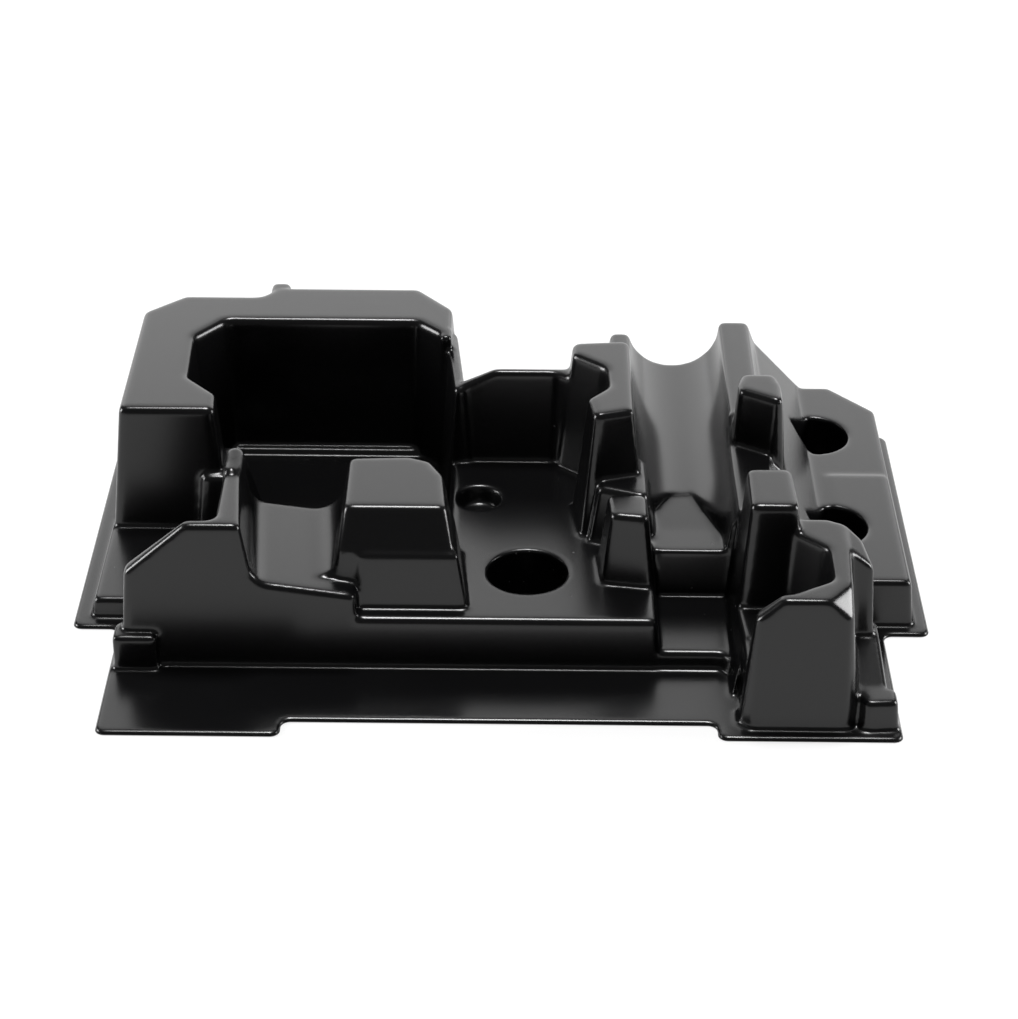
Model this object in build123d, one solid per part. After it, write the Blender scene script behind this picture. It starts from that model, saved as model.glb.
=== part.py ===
from build123d import *
import os
from math import hypot, radians, sqrt, tan

# Formed insert tray for a tool case: one plastic sheet drawn over a mould into blocks, troughs and pockets.
# Plan places count from the middle of the front edge, X to the right and Y to the back; Z is up from the table.
# The finished tray is moved at the end so that the origin lies in the middle of its underside.

# Sheet and the way it is formed
sheet = 1.5
draft = 5.0
edge_round = 3.0
thin_edge_round = 1.9
small_edge_cut = 1.2
corner_cut = 1.6
pillar_edge_cut = 1.5
below_table = 6.0
seat = 12.0
reach_up = 100.0

# Flange around the foot
flange_half = 185.0
flange_depth = 286.0
flange_front_half = 165.0
flange_back_half = 172.0
flange_step_front = 77.8
flange_step_back = 252.0
flange_recess_half = 89.5
flange_recess_depth = 10.4
flange_corner = 4.0

# Long front wall, shared by the floor, the saddle and the wall on the left
front_wall_foot = 48.2
front_wall_draft = 4.0

# Floor in the middle, with its finger hole and recess
floor_top = 24.9
floor_left = -75.0
floor_right = 66.0
floor_turn = 110.0
floor_back = [(66, 118), (46, 189), (-23.5, 189), (-23.5, 110)]
hole_radius = 17.2
floor_hole = (11.1, 88.7)
recess_place = (-10.5, 150.5)
recess_radius = 8.0
recess_depth = 8.0
recess_draft = 16.0

# Wall on the left, ridge and saddle
ridge_top = 68.0
wall_left = -155.4
wall_thickness = 6.0
ridge_left = -118.4
saddle_end = -63.0
saddle_back = 118.0
wall_slope_start = -130.7
wall_slope = (-20, 0, 23)
saddle_turn = 5.0
saddle_left = -109.2
saddle_run = 5.4
saddle_right = -60.0
saddle_high = 41.5
saddle_low = 35.5
saddle_round = 9.0
saddle_edge_round = 2.5
cove_middle = (-81.3, 90.0, 54.0)
cove_radius = 16.0
cove_length = 56.0
cove_top = 49.5
knob_top = 70.2
knob_round = 3.1
knob_outline = [(-118.6, 94.5), (-110.6, 94.5), (-110.6, 114), (-118.6, 114)]

# Block beside the saddle
centre_top = 66.0
centre_draft = 9.0
centre_outline = [(-66, 66.4), (-22.3, 66.4), (-25.2, 101), (-31, 112.5), (-40, 116.5), (-66, 115)]
centre_band_foot = (0, 63.8, 49.5)
centre_band = (0, -16.5, 9.5)
centre_step_top = 49.5
centre_step_outline = [(-58.5, 61.9), (-18, 61.9), (-21, 99), (-62.5, 99), (-62.5, 66)]

# Boss, plinth and corner box on the left
boss_top = 14.5
boss_outline = [(-161.9, 47.2), (-144.5, 47.2), (-144.5, 58), (-161.9, 58)]
plinth_top = 10.6
plinth_outline = [(-176.5, 85.5), (-157, 85.5), (-150, 62), (-112, 62), (-112, 165), (-176.5, 165)]
corner_box_top = 38.0
corner_box_outline = [(-134.5, 143.6), (-112, 143.6), (-112, 172), (-134.5, 172)]

# Bastion around the bay
bastion_top = 69.0
bastion_back = [(-25.2, 252), (-41.5, 272.5), (-109, 272.5), (-117, 263), (-153, 263)]
bastion_left = [(-170.3, 246), (-170.3, 150.2), (-127.8, 150.2), (-128.8, 166)]
bay_edge = [(-142.8, 182), (-144.2, 220.3), (-131, 238), (-41, 238), (-25.2, 221.5)]
bump_drop = 0.4
bump_outline = [(-112.4, 262), (-103.6, 262), (-103.6, 278.4), (-112.4, 278.4)]
bay_ledge_top = 4.4
bay_ledge_outline = [(-138, 228), (-34, 228), (-34, 246), (-138, 246)]

# Walls at the back of the floor
joining_top = 62.0
joining_outline = [(-22.5, 184), (-17.5, 184), (-22.5, 240), (-28, 240)]
low_wall_top = 70.0
low_wall_outline = [(-20, 186), (23, 186), (33, 178.5), (42, 184), (42, 190.8), (-20, 190.8)]
low_wall_slope_start = -4.1
low_wall_slope = (-7, 0, 14.6)

# Round channel on the right, its rims, the slope down to the shelf and the rooms cut into it
channel_middle = 80.3
channel_radius = 21.5
channel_bottom = 33.5
channel_front = 66.0
channel_back = 264.0
base_top = 51.0
rim_width = 8.7
rim_spread = 6.5
rim_round = 2.5
strip_top = 58.0
strip_width = 13.8
strip_front = 172.0
shoulder_run = 4.2
shoulder_top = 47.0
slope_run = 26.4
slope_low = 18.0
room_draft = 6.0
floor_room = [(0, 40), (64.5, 40), (64.5, 108), (0, 130)]
gap_room = [(50, 40), (97, 40), (97, 92), (50, 92)]
hexagon_top = 31.7
hexagon_draft = 8.0
hexagon_outline = [(66.5, 60), (97, 60), (96.6, 107), (84, 141), (75, 140), (66.5, 127)]
hexagon_block = [(60, 96), (99, 96), (99, 150), (60, 150)]
base_draft = 9.0
base_outline = [(42, 116), (63, 108.5), (63, 140), (52, 152), (40, 152)]
channel_block_top = 82.0
channel_block_front = [(31, 181.5), (46, 168.5), (46.6, 152), (37.2, 141), (39.5, 124)]
channel_block_back = [(56.5, 129.5), (56.5, 195.5), (31, 193)]

# Pillars
pillar_draft = 4.0
small_pillar_top = 58.0
small_pillar_outline = [(46.2, 81.5), (62.2, 79), (61.8, 99.5), (45, 99.5)]
front_pillar_top = 73.0
front_pillar_outline = [(103.5, 64.5), (123.8, 64.5), (122.6, 96.8), (103.8, 96.8)]
rear_pillar_top = 78.0
rear_pillar_outline = [(104.3, 152), (123, 150.5), (123, 163), (121, 172.5), (106.5, 172.5), (104.3, 164)]

# Ledge in the gap, and the shelf on the right with finger holes that run to a point at the slope
ledge_top = 9.8
ledge_outline = [(60, 49.6), (93, 49.6), (101, 40), (116, 40), (116, 104), (60, 104)]
shelf_top = 22.4
shelf_outline = [(112, 85.8), (176.8, 85.8), (176.8, 239.6), (157, 262.6), (112, 262.6)]
panel_rise = 0.8
panel_outline = [(147.5, 85.6), (176.2, 85.6), (176.2, 178), (147.5, 178)]
shelf_holes = [(144.3, 215.0), (144.8, 132.0)]
hole_point = 10.4

# Block at the front right, its pocket, its rib and the steps beside it
right_top = 61.0
right_outline = [(103.5, 11), (141.6, 11), (144.3, 50), (144, 62), (139, 75.5), (122, 75.5), (119.5, 66)]
pocket_edge = [(135.2, 51.5), (135, 28), (117, 17.5), (103.5, 17.5)]
right_slope_start = (113.7, 0)
right_slope = (-9.5, 0, 10.7)
right_facet_start = (131, 11)
right_facet = (7.6, -6, 9.2)
pocket_floor_outline = [(99, 30), (140, 30), (140, 72), (99, 72)]
rib_draft = 3.0
rib_outline = [(137, 50), (154.1, 50), (150.9, 68.2), (141, 73.5), (133, 73.5)]
rib_slope_start = 143.5
rib_slope = (8.5, 0, 11)
side_box_top = 15.0
side_box_outline = [(149.5, 6.2), (162.5, 7.2), (162.4, 18.2), (145.2, 18.2)]
side_ledge_rise = 6.0
side_ledge_outline = [(138, 12), (158.6, 12), (158.6, 60), (138, 60)]
side_ledge_slope = (0, -5.5, 30)


def moved_in(points, amount):
    """Moves each side of a closed anticlockwise outline inward by the amount."""
    result = []
    count = len(points)
    for i in range(count):
        before = points[i - 1]
        here = points[i]
        after = points[(i + 1) % count]
        ax, ay = here[0] - before[0], here[1] - before[1]
        bx, by = after[0] - here[0], after[1] - here[1]
        la, lb = hypot(ax, ay), hypot(bx, by)
        nax, nay = -ay / la, ax / la
        nbx, nby = -by / lb, bx / lb
        share = amount / (1 + nax * nbx + nay * nby)
        result.append((here[0] + share * (nax + nbx), here[1] + share * (nay + nby)))
    return result


def corners_cut(points, length):
    """Puts a flat across each corner that bulges outward, shorter where a side is short."""
    result = []
    count = len(points)
    for i in range(count):
        before = points[i - 1]
        here = points[i]
        after = points[(i + 1) % count]
        ax, ay = here[0] - before[0], here[1] - before[1]
        bx, by = after[0] - here[0], after[1] - here[1]
        la, lb = hypot(ax, ay), hypot(bx, by)
        bend = (ax * by - ay * bx) / (la * lb)
        if bend > 0.3:
            step = min(length, 0.3 * la, 0.3 * lb)
            result.append((here[0] - ax / la * step, here[1] - ay / la * step))
            result.append((here[0] + bx / lb * step, here[1] + by / lb * step))
        else:
            result.append(here)
    return result


def prism(points, top, base, skin, lean):
    """Upright body with leaning sides whose outline is given at its top."""
    slope = tan(radians(lean))
    rise = top - skin - base
    upper = moved_in(points, skin - skin * slope)
    if skin > 0:
        upper = corners_cut(upper, corner_cut)
    foot = moved_in(upper, -rise * slope)
    return extrude(Pos(0, 0, base) * make_face(Polyline(*foot, close=True)), rise, taper=lean)


def outward_edges(solid, above, upright=True):
    """Sharp edges where the body bulges outward: the upper ones, and also the upright ones of a clear corner."""
    chosen = []
    faces = solid.faces()
    for edge in solid.edges():
        box = edge.bounding_box()
        low = box.min.Z < above
        if box.max.Z < above or (low and not upright):
            continue
        middle = edge.position_at(0.5)
        sides = [f for f in faces if any(edge.is_same(e) for e in f.edges())]
        first = sides[0].normal_at(middle)
        second = sides[-1].normal_at(middle)
        limit = 0.3 if low else 0.97
        if first.dot(second) < limit and (sides[0].center() - middle).dot(second) < 0:
            chosen.append(edge)
    return chosen


def softened(solid, base, skin, radius):
    """Rounds the outward edges of the outer form; the inner form keeps its flats."""
    if skin > 0:
        return solid
    return fillet(outward_edges(solid, base + 1), radius)


def block(points, top, base, skin, lean=draft, radius=edge_round):
    """Formed block with leaning sides, rounded upper edge and rounded upright corners."""
    return softened(prism(points, top, base, skin, lean), base, skin, radius)


def flattened(solid, base, skin):
    """Puts flats along the outward edges of the outer form."""
    if skin > 0:
        return solid
    return chamfer(outward_edges(solid, base + 1), small_edge_cut)


def pillar(points, top, base, skin, lean=draft):
    """Formed block with rounded upright corners and a flat along its upper edge."""
    body = prism(points, top, base, skin, lean)
    if skin > 0:
        return body
    upright = [edge for edge in outward_edges(body, base + 1) if edge.bounding_box().min.Z < base + 1]
    body = fillet(upright, edge_round)
    return chamfer(body.faces().sort_by(Axis.Z)[-1].edges(), pillar_edge_cut)


def small_block(points, top, base, skin, lean=draft):
    """Small or low formed block with flats along its edges."""
    return flattened(prism(points, top, base, skin, lean), base, skin)


def hollow(points, bottom, skin, lean):
    """Room that widens upward from an outline given at its bottom."""
    low = bottom - skin
    rise = reach_up - low
    wide = moved_in(points, -skin - rise * tan(radians(lean)))
    flipped = [(x, -y) for x, y in reversed(wide)]
    face = make_face(Polyline(*flipped, close=True))
    return Rot(180, 0, 0) * extrude(Pos(0, 0, -reach_up) * face, rise, taper=lean)


def shaved(solid, point, normal, skin):
    """Takes off what lies outside a plane, given by a point on it and its outward direction."""
    direction = Vector(*normal).normalized()
    plane = Plane(origin=Vector(*point) - direction * skin, z_dir=direction)
    return split(solid, bisect_by=plane, keep=Keep.BOTTOM)


def front_at(height):
    """Place of the long front wall at a height."""
    return front_wall_foot + height * tan(radians(front_wall_draft))


def front_body(skin):
    """Wall on the left, ridge and saddle in one body behind the long front wall."""
    front = front_at(ridge_top)
    back = front + wall_thickness
    outline = [(wall_left, front), (saddle_end, front), (saddle_end, saddle_back), (ridge_left, saddle_back)]
    outline += [(ridge_left, back), (wall_left, back)]
    body = prism(outline, ridge_top, -below_table, skin, front_wall_draft)
    trough = [(saddle_left, reach_up), (saddle_left + saddle_run, saddle_high), (saddle_right, saddle_low)]
    trough += [(0, saddle_low), (0, reach_up)]
    radii = [0, saddle_round + skin, 0, 0, 0]
    face = make_face(FilletPolyline(*moved_in(trough, -skin), radius=radii, close=True))
    cut = Pos(0, -flange_depth, 0) * extrude(Plane.XZ * face, -2 * flange_depth)
    cut = Pos(saddle_left, front, 0) * Rot(0, 0, saddle_turn) * Pos(-saddle_left, 0, 0) * cut
    body = shaved(body - cut, (wall_slope_start, 0, ridge_top), wall_slope, skin)
    return softened(body, -below_table, skin, saddle_edge_round)


def saddle_cove(skin):
    """Hollow curve between the bottom of the saddle and the block beside it."""
    x, y, z = cove_middle
    low = saddle_low - seat
    corner = (Align.MIN, Align.CENTER, Align.MIN)
    rise = cove_top - skin - low
    piece = Pos(0, 0, low) * Box(cove_radius + seat, cove_length - 2 * skin, rise, align=corner)
    round_cut = Pos(0, 0, z) * Rot(90, 0, 0) * Cylinder(cove_radius + skin, 2 * cove_length)
    return Pos(x, y, 0) * Rot(0, 0, saddle_turn) * (piece - round_cut)


def centre_block(skin):
    """Block beside the saddle with a sloping band at its front."""
    body = prism(centre_outline, centre_top, -below_table, skin, centre_draft)
    body = shaved(body, centre_band_foot, centre_band, skin)
    return softened(body, -below_table, skin, edge_round)


def low_wall(skin):
    """Thin wall behind the floor, lower at its left end."""
    body = prism(low_wall_outline, low_wall_top, -below_table, skin, pillar_draft)
    body = shaved(body, (low_wall_slope_start, 0, low_wall_top), low_wall_slope, skin)
    return flattened(body, -below_table, skin)


def channel_bar(skin):
    """Channel with its rim on the left, the strip on the right and the slope down to the shelf."""
    axis = channel_bottom + channel_radius
    left = channel_middle - sqrt(channel_radius ** 2 - (base_top - axis) ** 2)
    right = channel_middle + sqrt(channel_radius ** 2 - (strip_top - axis) ** 2)
    low = -below_table
    rim = left - rim_width
    strip = right + strip_width
    shoulder = strip + shoulder_run
    foot = shoulder + slope_run
    left_side = Polyline((left, base_top), (rim, base_top), (rim - rim_spread, low), (foot, low))
    right_side = Polyline((foot, low), (foot, slope_low), (shoulder, shoulder_top), (strip, strip_top), (right, strip_top))
    trough = ThreePointArc((right, strip_top), (channel_middle, channel_bottom), (left, base_top))
    face = make_face(left_side + right_side + trough)
    if skin > 0:
        face = offset(face, -skin, kind=Kind.INTERSECTION)
    else:
        face = fillet([corner for corner in face.vertices() if corner.Y > shoulder_top], rim_round)
    bar = extrude(Plane.XZ * face, -2 * flange_depth)
    lean = tan(radians(draft))
    bar = shaved(bar, (0, channel_back, channel_bottom), (0, 1, lean), skin)
    bar = shaved(bar, (0, channel_front, floor_top), (0, -1, lean), skin)
    bar = bar - hollow(floor_room, 0, skin, room_draft)
    bar = bar - hollow(gap_room, 0, skin, room_draft)
    bar = bar - hollow(hexagon_outline, hexagon_top, skin, hexagon_draft)
    notch = Box(flange_half, flange_depth, reach_up, align=(Align.MIN, Align.MAX, Align.MIN))
    return bar - Pos(channel_middle, strip_front + skin, base_top - skin) * notch


def finger_hole(place, skin):
    """Round hole down to the base sheet."""
    upright = (Align.CENTER, Align.CENTER, Align.MIN)
    return Pos(*place, sheet - skin) * Cylinder(hole_radius + skin, reach_up, align=upright)


def pointed_hole(place, skin):
    """Finger hole whose left half runs to a point."""
    radius = hole_radius + skin
    arc = ThreePointArc((0, -radius), (radius, 0), (0, radius))
    nose = Polyline((0, radius), (-hole_point - skin, 0), (0, -radius))
    return Pos(*place, sheet - skin) * extrude(make_face(arc + nose), reach_up)


def right_block(skin):
    """Block at the front right, open to the left round a deep pocket."""
    outline = right_outline + pocket_edge
    if skin == 0:
        outline = corners_cut(outline, corner_cut)
    body = prism(outline, right_top, -below_table, skin, draft)
    body = shaved(body, (*right_slope_start, right_top), right_slope, skin)
    body = shaved(body, (*right_facet_start, right_top), right_facet, skin)
    if skin > 0:
        return body
    return fillet(outward_edges(body, 1 - below_table, False), thin_edge_round)


def rib(skin):
    """Rib on the right of that block; its top falls to the right."""
    body = prism(rib_outline, right_top, -below_table, skin, rib_draft)
    body = shaved(body, (rib_slope_start, 0, right_top), rib_slope, skin)
    return flattened(body, -below_table, skin)


def side_ledge(skin):
    """Ledge that climbs from the small box at the front corner to the foot of the rib."""
    body = prism(side_ledge_outline, side_box_top + side_ledge_rise, -below_table, skin, draft)
    back = side_box_outline[2][1]
    body = shaved(body, (0, back, side_box_top), side_ledge_slope, skin)
    return flattened(body, -below_table, skin)


def round_recess(skin):
    """Shallow round recess in the floor that widens upward."""
    low = floor_top - recess_depth - skin
    rise = recess_depth + seat
    narrow = recess_radius + skin
    wide = narrow + rise * tan(radians(recess_draft))
    return Pos(*recess_place, low) * Cone(narrow, wide, rise, align=(Align.CENTER, Align.CENTER, Align.MIN))


def form(skin):
    """Everything the sheet is drawn over, drawn back by the skin."""
    under = -below_table
    front = front_at(floor_top)
    floor_outline = [(floor_left, front), (floor_right, front)] + floor_back + [(floor_left, floor_turn)]
    bodies = [block(floor_outline, floor_top, under, skin, front_wall_draft)]
    bodies.append(front_body(skin))
    bodies.append(saddle_cove(skin))
    bodies.append(block(knob_outline, knob_top, under, skin, pillar_draft, knob_round))
    bodies.append(centre_block(skin))
    bodies.append(small_block(centre_step_outline, centre_step_top, under, skin, centre_draft))
    bodies.append(small_block(boss_outline, boss_top, under, skin))
    bodies.append(small_block(plinth_outline, plinth_top, under, skin))
    bodies.append(pillar(corner_box_outline, corner_box_top, under, skin))
    bodies.append(block(bastion_back + bastion_left + bay_edge, bastion_top, under, skin))
    bodies.append(small_block(bump_outline, bastion_top - bump_drop, under, skin))
    bodies.append(small_block(bay_ledge_outline, bay_ledge_top, under, skin))
    bodies.append(small_block(joining_outline, joining_top, under, skin, pillar_draft))
    bodies.append(low_wall(skin))
    bodies.append(channel_bar(skin))
    bodies.append(pillar(base_outline, base_top, under, skin, base_draft))
    bodies.append(pillar(channel_block_front + channel_block_back, channel_block_top, under, skin, room_draft))
    bodies.append(small_block(hexagon_block, hexagon_top, under, skin, hexagon_draft))
    bodies.append(pillar(small_pillar_outline, small_pillar_top, under, skin, room_draft))
    bodies.append(small_block(ledge_outline, ledge_top, under, skin))
    bodies.append(pillar(front_pillar_outline, front_pillar_top, under, skin, pillar_draft))
    bodies.append(pillar(rear_pillar_outline, rear_pillar_top, base_top - 2 * seat, skin, pillar_draft))
    bodies.append(small_block(shelf_outline, shelf_top, under, skin))
    bodies.append(small_block(panel_outline, shelf_top + panel_rise, under, skin))
    bodies.append(right_block(skin))
    bodies.append(small_block(pocket_floor_outline, floor_top, under, skin))
    bodies.append(rib(skin))
    bodies.append(side_ledge(skin))
    bodies.append(small_block(side_box_outline, side_box_top, under, skin))
    whole = bodies[0].fuse(*bodies[1:])
    whole = whole - finger_hole(floor_hole, skin)
    for place in shelf_holes:
        whole = whole - pointed_hole(place, skin)
    return whole - round_recess(skin)


def flange():
    """Flat sheet around the foot, which also closes the bottom of the open rooms."""
    half = [(flange_recess_half, flange_recess_depth), (flange_recess_half, 0), (flange_front_half, 0)]
    half += [(flange_front_half, flange_step_front), (flange_half, flange_step_front)]
    half += [(flange_half, flange_step_back), (flange_back_half, flange_step_back), (flange_back_half, flange_depth)]
    outline = half + [(-x, y) for x, y in reversed(half)]
    return extrude(make_face(FilletPolyline(*outline, radius=flange_corner, close=True)), sheet)


outer = split(form(0), bisect_by=Plane.XY, keep=Keep.TOP)
tray = flange() + outer - form(sheet)
tray = Pos(0, -flange_depth / 2, 0) * tray
os.makedirs("parts", exist_ok=True)
export_step(tray, "parts/tray.step")
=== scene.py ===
from math import cos, radians, sin

import bpy
from mathutils import Matrix, Vector
from mathutils.bvhtree import BVHTree


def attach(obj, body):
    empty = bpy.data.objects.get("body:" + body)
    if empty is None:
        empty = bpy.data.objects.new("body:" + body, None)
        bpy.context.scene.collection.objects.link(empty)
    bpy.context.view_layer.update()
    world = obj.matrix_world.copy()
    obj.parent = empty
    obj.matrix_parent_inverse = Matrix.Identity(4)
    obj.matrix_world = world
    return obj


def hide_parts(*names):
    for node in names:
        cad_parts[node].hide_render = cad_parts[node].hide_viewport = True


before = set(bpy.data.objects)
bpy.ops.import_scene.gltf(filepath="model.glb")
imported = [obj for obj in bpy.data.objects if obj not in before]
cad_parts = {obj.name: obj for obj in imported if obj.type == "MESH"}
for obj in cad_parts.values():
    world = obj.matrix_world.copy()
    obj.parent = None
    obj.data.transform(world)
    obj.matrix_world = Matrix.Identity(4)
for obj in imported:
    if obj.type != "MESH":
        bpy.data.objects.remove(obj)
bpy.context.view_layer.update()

# Upper skin of the tray.
# The real tray is one sheet of black plastic, heated and drawn over a mould, so every edge and every foot of
# a wall runs out in a soft curve. The skin is the solid's upper side, closed below, remeshed and relaxed.
sheet = 0.0015
foot_depth = 0.005
weld_reach = 0.000002
look_off = 0.00001
upright_limit = 0.02
bump_segments = 5
just_above = 0.0001
voxel = 0.00062
relax_share = 0.5
relax_steps = 48
foot_cut = 0.0001
skin_triangles = 185000
even_weight = 50

bpy.ops.object.select_all(action="DESELECT")
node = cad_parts["tray"]
node.select_set(True)
bpy.context.view_layer.objects.active = node
bpy.ops.object.duplicate()
skin = bpy.context.view_layer.objects.active
skin.name = "tray_skin"
bpy.ops.object.mode_set(mode="EDIT")
bpy.ops.mesh.select_all(action="SELECT")
bpy.ops.mesh.remove_doubles(threshold=weld_reach)
bpy.ops.mesh.select_all(action="DESELECT")
bpy.ops.object.mode_set(mode="OBJECT")


def drawn_over(low, high, shift):
    """Moves the corners of the skin that lie inside a box, as a change to the mould there would."""
    bpy.ops.object.mode_set(mode="OBJECT")
    for corner in skin.data.vertices:
        corner.select = all(a < c < b for a, c, b in zip(low, corner.co, high))
    bpy.ops.object.mode_set(mode="EDIT")
    bpy.ops.mesh.select_mode(type="VERT")
    bpy.ops.transform.translate(value=shift)
    bpy.ops.mesh.select_all(action="DESELECT")
    bpy.ops.object.mode_set(mode="OBJECT")


ridge_side = ((-0.114, -0.092, 0.060), (-0.102, -0.024, 0.080), (-0.0013, 0, 0))
pillar_left = ((0.1015, 0.0015, 0.0485), (0.1125, 0.0145, 0.080), (0, 0.0035, 0))
pillar_right = ((0.1150, 0.0000, 0.0400), (0.1275, 0.0145, 0.080), (0, -0.0035, 0))
gap_wall_foot = ((0.060, -0.0518, 0.0080), (0.100, -0.0482, 0.0118), (0, 0.0010, 0))
corner_box_end = ((-0.1155, -0.003, 0.0085), (-0.1105, 0.0305, 0.0395), (-0.006, 0, 0))
pocket_floor_corner = ((0.0975, -0.1165, 0.001), (0.1025, -0.1090, 0.026), (0.0020, 0.0085, 0))
for low, high, shift in (
        ridge_side, pillar_left, pillar_right, gap_wall_foot, corner_box_end, pocket_floor_corner):
    drawn_over(low, high, shift)

tree = BVHTree.FromObject(skin, bpy.context.evaluated_depsgraph_get())
below = Vector((0, 0, -1))
for face in skin.data.polygons:
    start = face.center + face.normal * look_off
    open_below = tree.ray_cast(start, below)[0] is None
    on_rim = abs(face.normal.z) < upright_limit and face.center.z < sheet
    face.select = open_below and not on_rim
bpy.ops.object.mode_set(mode="EDIT")
bpy.ops.mesh.select_mode(type="FACE")
bpy.ops.mesh.separate(type="SELECTED")
bpy.ops.mesh.select_all(action="DESELECT")
bpy.ops.mesh.select_mode(type="EDGE")
bpy.ops.mesh.select_non_manifold(
    extend=False, use_wire=False, use_multi_face=False, use_non_contiguous=False)
bpy.ops.mesh.extrude_region_move(TRANSFORM_OT_translate={"value": (0, 0, -foot_depth)})
bpy.ops.mesh.edge_face_add()
bpy.ops.object.mode_set(mode="OBJECT")
underside = [o for o in bpy.context.selected_objects if o is not skin][0]
underside.name = "tray_underside"
underside.select_set(False)
bpy.context.view_layer.objects.active = skin


def added_bump(name, low, high, narrowing, roundness, fall=0):
    """Rounded block that the sheet is also drawn over; its top is narrower and may fall to the front."""
    bpy.ops.object.select_all(action="DESELECT")
    bpy.ops.mesh.primitive_cube_add(size=1)
    bump = bpy.context.view_layer.objects.active
    bump.name = name
    bump.scale = [b - a for a, b in zip(low, high)]
    bump.location = [(a + b) / 2 for a, b in zip(low, high)]
    bpy.ops.object.transform_apply(location=True, rotation=True, scale=True)
    for corner in bump.data.vertices:
        corner.select = corner.co.z > low[2] + just_above
    bpy.ops.object.mode_set(mode="EDIT")
    bpy.ops.mesh.select_mode(type="VERT")
    bpy.ops.transform.resize(value=(narrowing, narrowing, 1))
    bpy.ops.object.mode_set(mode="OBJECT")
    for corner in bump.data.vertices:
        if corner.co.z > low[2] + just_above and corner.co.y < (low[1] + high[1]) / 2:
            corner.co.z -= fall
    soften = bump.modifiers.new("soften", "BEVEL")
    soften.width = roundness
    soften.segments = bump_segments
    bpy.ops.object.modifier_apply(modifier=soften.name)
    skin.select_set(True)
    bpy.context.view_layer.objects.active = skin
    bpy.ops.object.join()


added_bump("boss", (-0.1634, -0.0990, -0.003), (-0.1432, -0.085, 0.0178), narrowing=0.93, roundness=0.0016)
added_bump(
    "knob", (-0.1195, -0.0490, 0.055), (-0.1101, -0.0276, 0.0720),
    narrowing=0.96, roundness=0.0042, fall=0.0025)
added_bump(
    "pocket_foot", (0.1000, -0.1215, -0.003), (0.1090, -0.1000, 0.0240),
    narrowing=0.86, roundness=0.001)
added_bump(
    "bastion_end", (-0.0303, 0.0792, 0.030), (-0.0246, 0.0900, 0.0687),
    narrowing=1, roundness=0.0015)
added_bump(
    "trough_lip", (0.0690, -0.0300, 0.020), (0.0915, 0.0140, 0.0334),
    narrowing=1, roundness=0.0002, fall=0.0017)
added_bump(
    "strip_end", (0.0995, 0.0065, 0.040), (0.1065, 0.0360, 0.0578),
    narrowing=0.6, roundness=0.0008, fall=0.0075)

remesh = skin.modifiers.new("remesh", "REMESH")
remesh.mode = "VOXEL"
remesh.voxel_size = voxel
bpy.ops.object.modifier_apply(modifier=remesh.name)
relax = skin.modifiers.new("relax", "SMOOTH")
relax.factor = relax_share
relax.iterations = relax_steps
bpy.ops.object.modifier_apply(modifier=relax.name)
bpy.ops.object.mode_set(mode="EDIT")
bpy.ops.mesh.select_all(action="SELECT")
bpy.ops.mesh.bisect(plane_co=(0, 0, foot_cut), plane_no=(0, 0, -1), clear_outer=True)
bpy.ops.object.mode_set(mode="OBJECT")
thin = skin.modifiers.new("thin", "DECIMATE")
thin.ratio = skin_triangles / (2 * len(skin.data.polygons))
bpy.ops.object.modifier_apply(modifier=thin.name)
bpy.ops.object.shade_smooth()
even = skin.modifiers.new("even", "WEIGHTED_NORMAL")
even.weight = even_weight
bpy.ops.object.modifier_apply(modifier=even.name)


class Value:
    """A shader socket that can be used in an expression; each operation adds a Math node."""

    def __init__(self, tree, socket):
        self.tree = tree
        self.socket = socket

    def math(self, operation, first, second):
        node = self.tree.nodes.new("ShaderNodeMath")
        node.operation = operation
        for entry, given in zip(node.inputs, (first, second)):
            if isinstance(given, Value):
                self.tree.links.new(given.socket, entry)
            else:
                entry.default_value = given
        return Value(self.tree, node.outputs[0])

    def __add__(self, other):
        return self.math("ADD", self, other)

    def __radd__(self, other):
        return self.math("ADD", other, self)

    def __sub__(self, other):
        return self.math("SUBTRACT", self, other)

    def __rsub__(self, other):
        return self.math("SUBTRACT", other, self)

    def __mul__(self, other):
        return self.math("MULTIPLY", self, other)

    def __rmul__(self, other):
        return self.math("MULTIPLY", other, self)

    def __gt__(self, other):
        return self.math("GREATER_THAN", self, other)

    def __lt__(self, other):
        return self.math("LESS_THAN", self, other)

    def node(self, kind, settings, entries, output=0):
        node = self.tree.nodes.new(kind)
        for name, value in settings.items():
            setattr(node, name, value)
        for name, given in entries.items():
            if isinstance(given, Value):
                self.tree.links.new(given.socket, node.inputs[name])
            else:
                node.inputs[name].default_value = given
        return Value(self.tree, node.outputs[output])


plastic_black = (0.0024, 0.0024, 0.0027, 1)
plastic_ior = 1.48
plain_roughness = 0.19
cloud_scale = 22.0
cloud_roughness = 0.05
grain_scale = 1500.0
grain_roughness = 0.05
grain_strength = 0.035
grain_height = 0.0002
dust_grey = (0.16, 0.16, 0.165, 1)
dust_cover = 0.5
dust_roughness = 0.25
speck_scale = 130.0
speck_size = 0.06
patch_scale = 14.0
patch_edge = 0.62

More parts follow.
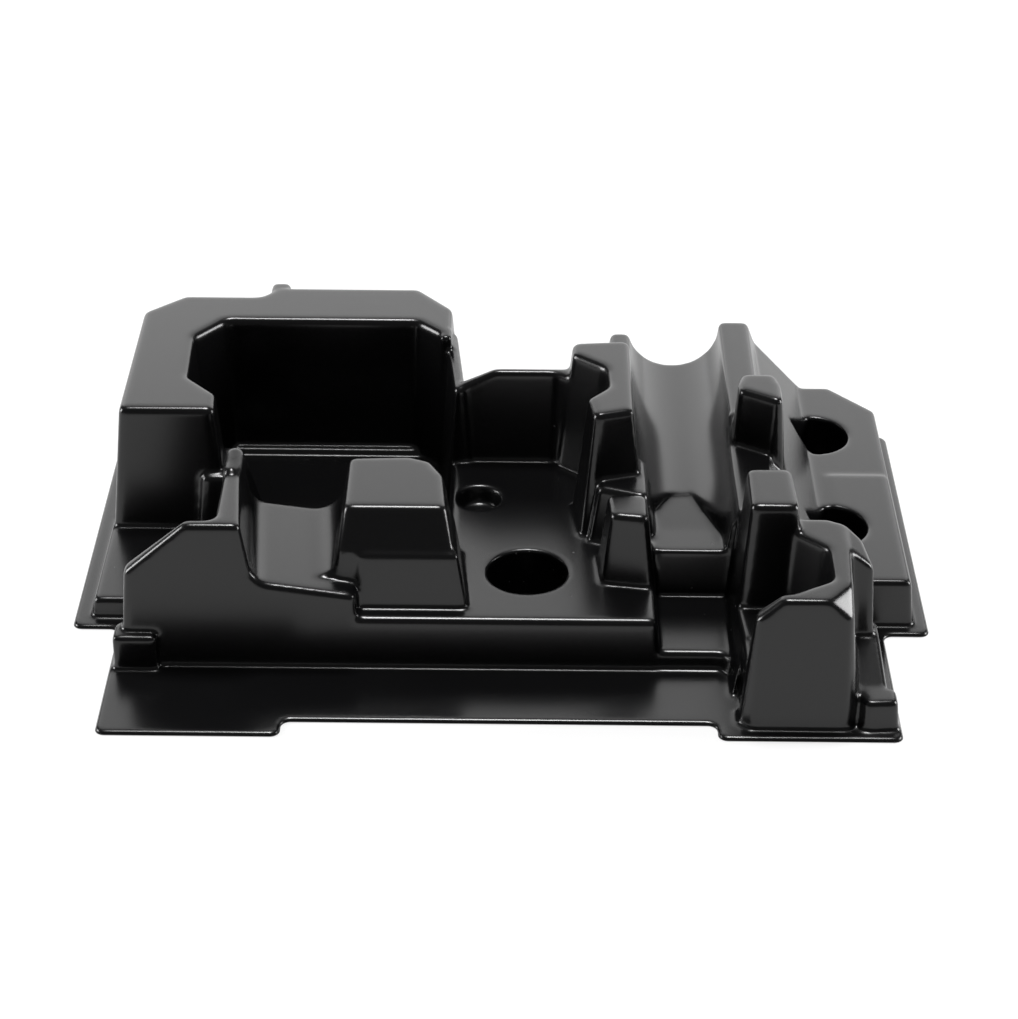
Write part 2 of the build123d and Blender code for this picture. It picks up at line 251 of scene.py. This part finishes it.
plastic = bpy.data.materials.new("formed_black_plastic")
plastic.use_nodes = True
nodes = plastic.node_tree.nodes
shader = nodes["Principled BSDF"]
place = Value(plastic.node_tree, nodes.new("ShaderNodeTexCoord").outputs["Object"])
clouds = place.node("ShaderNodeTexNoise", {}, {"Vector": place, "Scale": cloud_scale, "Detail": 3.0})
grain = place.node("ShaderNodeTexNoise", {}, {"Vector": place, "Scale": grain_scale, "Detail": 2.0})
specks = place.node("ShaderNodeTexVoronoi", {}, {"Vector": place, "Scale": speck_scale})
patches = place.node("ShaderNodeTexNoise", {}, {"Vector": place, "Scale": patch_scale, "Detail": 2.0})
dust = (specks < speck_size) * (patches > patch_edge)
colour = place.node("ShaderNodeMix", {"data_type": "RGBA"}, {}, 2)
mix = colour.socket.node
mix.inputs[6].default_value = plastic_black
mix.inputs[7].default_value = dust_grey
plastic.node_tree.links.new((dust * dust_cover).socket, mix.inputs[0])
rough = plain_roughness + cloud_roughness * clouds + grain_roughness * grain + dust_roughness * dust
relief = place.node(
    "ShaderNodeBump", {}, {"Height": grain, "Strength": grain_strength, "Distance": grain_height})
plastic.node_tree.links.new(colour.socket, shader.inputs["Base Color"])
plastic.node_tree.links.new(rough.socket, shader.inputs["Roughness"])
plastic.node_tree.links.new(relief.socket, shader.inputs["Normal"])
shader.inputs["IOR"].default_value = plastic_ior

skin.data.materials.clear()
skin.data.materials.append(plastic)
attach(skin, "root")
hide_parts("tray")

# Underside of the tray.
# The back of the sheet: plain hollows under the blocks, with the flat of the flange that rests on the table.
# It is the lower side of the solid, in the same plastic.
fold_angle = radians(25)

bpy.ops.object.select_all(action="DESELECT")
underside.select_set(True)
bpy.context.view_layer.objects.active = underside
bpy.ops.object.shade_smooth_by_angle(angle=fold_angle)
underside.data.materials.clear()
underside.data.materials.append(plastic)
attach(underside, "root")
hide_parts("tray")

# White table and studio light.
# The tray lies on a white sweep under soft boxes; the table stays white to the camera and keeps the shadow.
floor_size = 12.0
table_drop = 0.0003
table_white = (0.92, 0.92, 0.92, 1)
table_roughness = 0.9
glow_share = 0.6
room_light = 0.12
overhead_lean = radians(-10)
overhead_energy = 2.3
overhead_angle = radians(14)

bpy.ops.object.select_all(action="DESELECT")
bpy.ops.mesh.primitive_plane_add(size=floor_size, location=(0, 0, 0))
table = bpy.context.view_layer.objects.active
table.name = "white_table"
table.location.z = -table_drop
white = bpy.data.materials.new("white_sweep")
white.use_nodes = True
white_shader = white.node_tree.nodes["Principled BSDF"]
white_shader.inputs["Base Color"].default_value = table_white
white_shader.inputs["Roughness"].default_value = table_roughness
white_shader.inputs["Specular IOR Level"].default_value = 0.0
rays = white.node_tree.nodes.new("ShaderNodeLightPath")
seen = Value(white.node_tree, rays.outputs["Is Camera Ray"])
mirrored = Value(white.node_tree, rays.outputs["Is Glossy Ray"])
through = Value(white.node_tree, rays.outputs["Is Transmission Ray"])
glow = seen.node("ShaderNodeEmission", {}, {"Color": (1, 1, 1, 1), "Strength": 1.0})
plain = Value(white.node_tree, white_shader.outputs["BSDF"])
lifted = seen.node(
    "ShaderNodeMixShader", {}, {0: glow_share * (seen + mirrored + through), 1: plain, 2: glow})
white.node_tree.links.new(lifted.socket, white.node_tree.nodes["Material Output"].inputs["Surface"])
table.data.materials.append(white)

world = bpy.data.worlds.new("studio")
bpy.context.scene.world = world
world.use_nodes = True
background = world.node_tree.nodes["Background"]
background.inputs["Color"].default_value = (1, 1, 1, 1)
background.inputs["Strength"].default_value = room_light

bpy.ops.object.select_all(action="DESELECT")
bpy.ops.object.light_add(type="SUN", location=(0, 0, 3), rotation=(overhead_lean, 0, 0))
overhead = bpy.context.view_layer.objects.active
overhead.name = "overhead_light"
overhead.data.energy = overhead_energy
overhead.data.angle = overhead_angle


def soft_box(name, place, size, power):
    """Rectangular area lamp that looks at the tray's middle."""
    bpy.ops.object.select_all(action="DESELECT")
    bpy.ops.object.light_add(type="AREA", location=place)
    lamp = bpy.context.view_layer.objects.active
    lamp.name = name
    lamp.data.shape = "RECTANGLE"
    lamp.data.size = size[0]
    lamp.data.size_y = size[1]
    lamp.data.energy = power
    lamp.rotation_euler = (-Vector(place)).to_track_quat("-Z", "Y").to_euler()


soft_box("back_box_low", place=(0, 2.45, 0.66), size=(3.6, 1.30), power=26.0)
soft_box("back_box_high", place=(0, 2.15, 1.80), size=(3.6, 1.15), power=17.5)
soft_box("left_box", place=(-1.1, 0.1, 0.35), size=(0.45, 0.45), power=9.0)
soft_box("right_box", place=(1.1, 0.1, 0.35), size=(0.45, 0.45), power=9.0)

# Camera.
# A long lens looks down on the tray from the front, a little turned and tilted. The picture is a little
# higher than wide, so the lens follows from its height.
image_height = 1019
focal_pixels = 2711.44
sensor_width = 36
near_clip = 0.05
far_clip = 60
camera_place = (0.007181, -1.041254, 0.648751)
look_down = radians(31.0)
look_aside = radians(-0.2369)
tilt = radians(0.4239)

ahead = Vector((sin(look_aside) * cos(look_down), cos(look_aside) * cos(look_down), -sin(look_down)))
level = Vector((cos(look_aside), -sin(look_aside), 0))
upward = level.cross(ahead)
right = cos(tilt) * level + sin(tilt) * upward
up = cos(tilt) * upward - sin(tilt) * level
turn = Matrix((right, up, -ahead)).transposed().to_4x4()
bpy.ops.object.select_all(action="DESELECT")
bpy.ops.object.camera_add()
camera = bpy.context.view_layer.objects.active
camera.name = "camera"
camera.matrix_world = Matrix.Translation(camera_place) @ turn
camera.data.sensor_width = sensor_width
camera.data.lens = focal_pixels * sensor_width / image_height
camera.data.clip_start = near_clip
camera.data.clip_end = far_clip
bpy.context.scene.camera = camera
bpy.context.scene.view_settings.view_transform = "Standard"
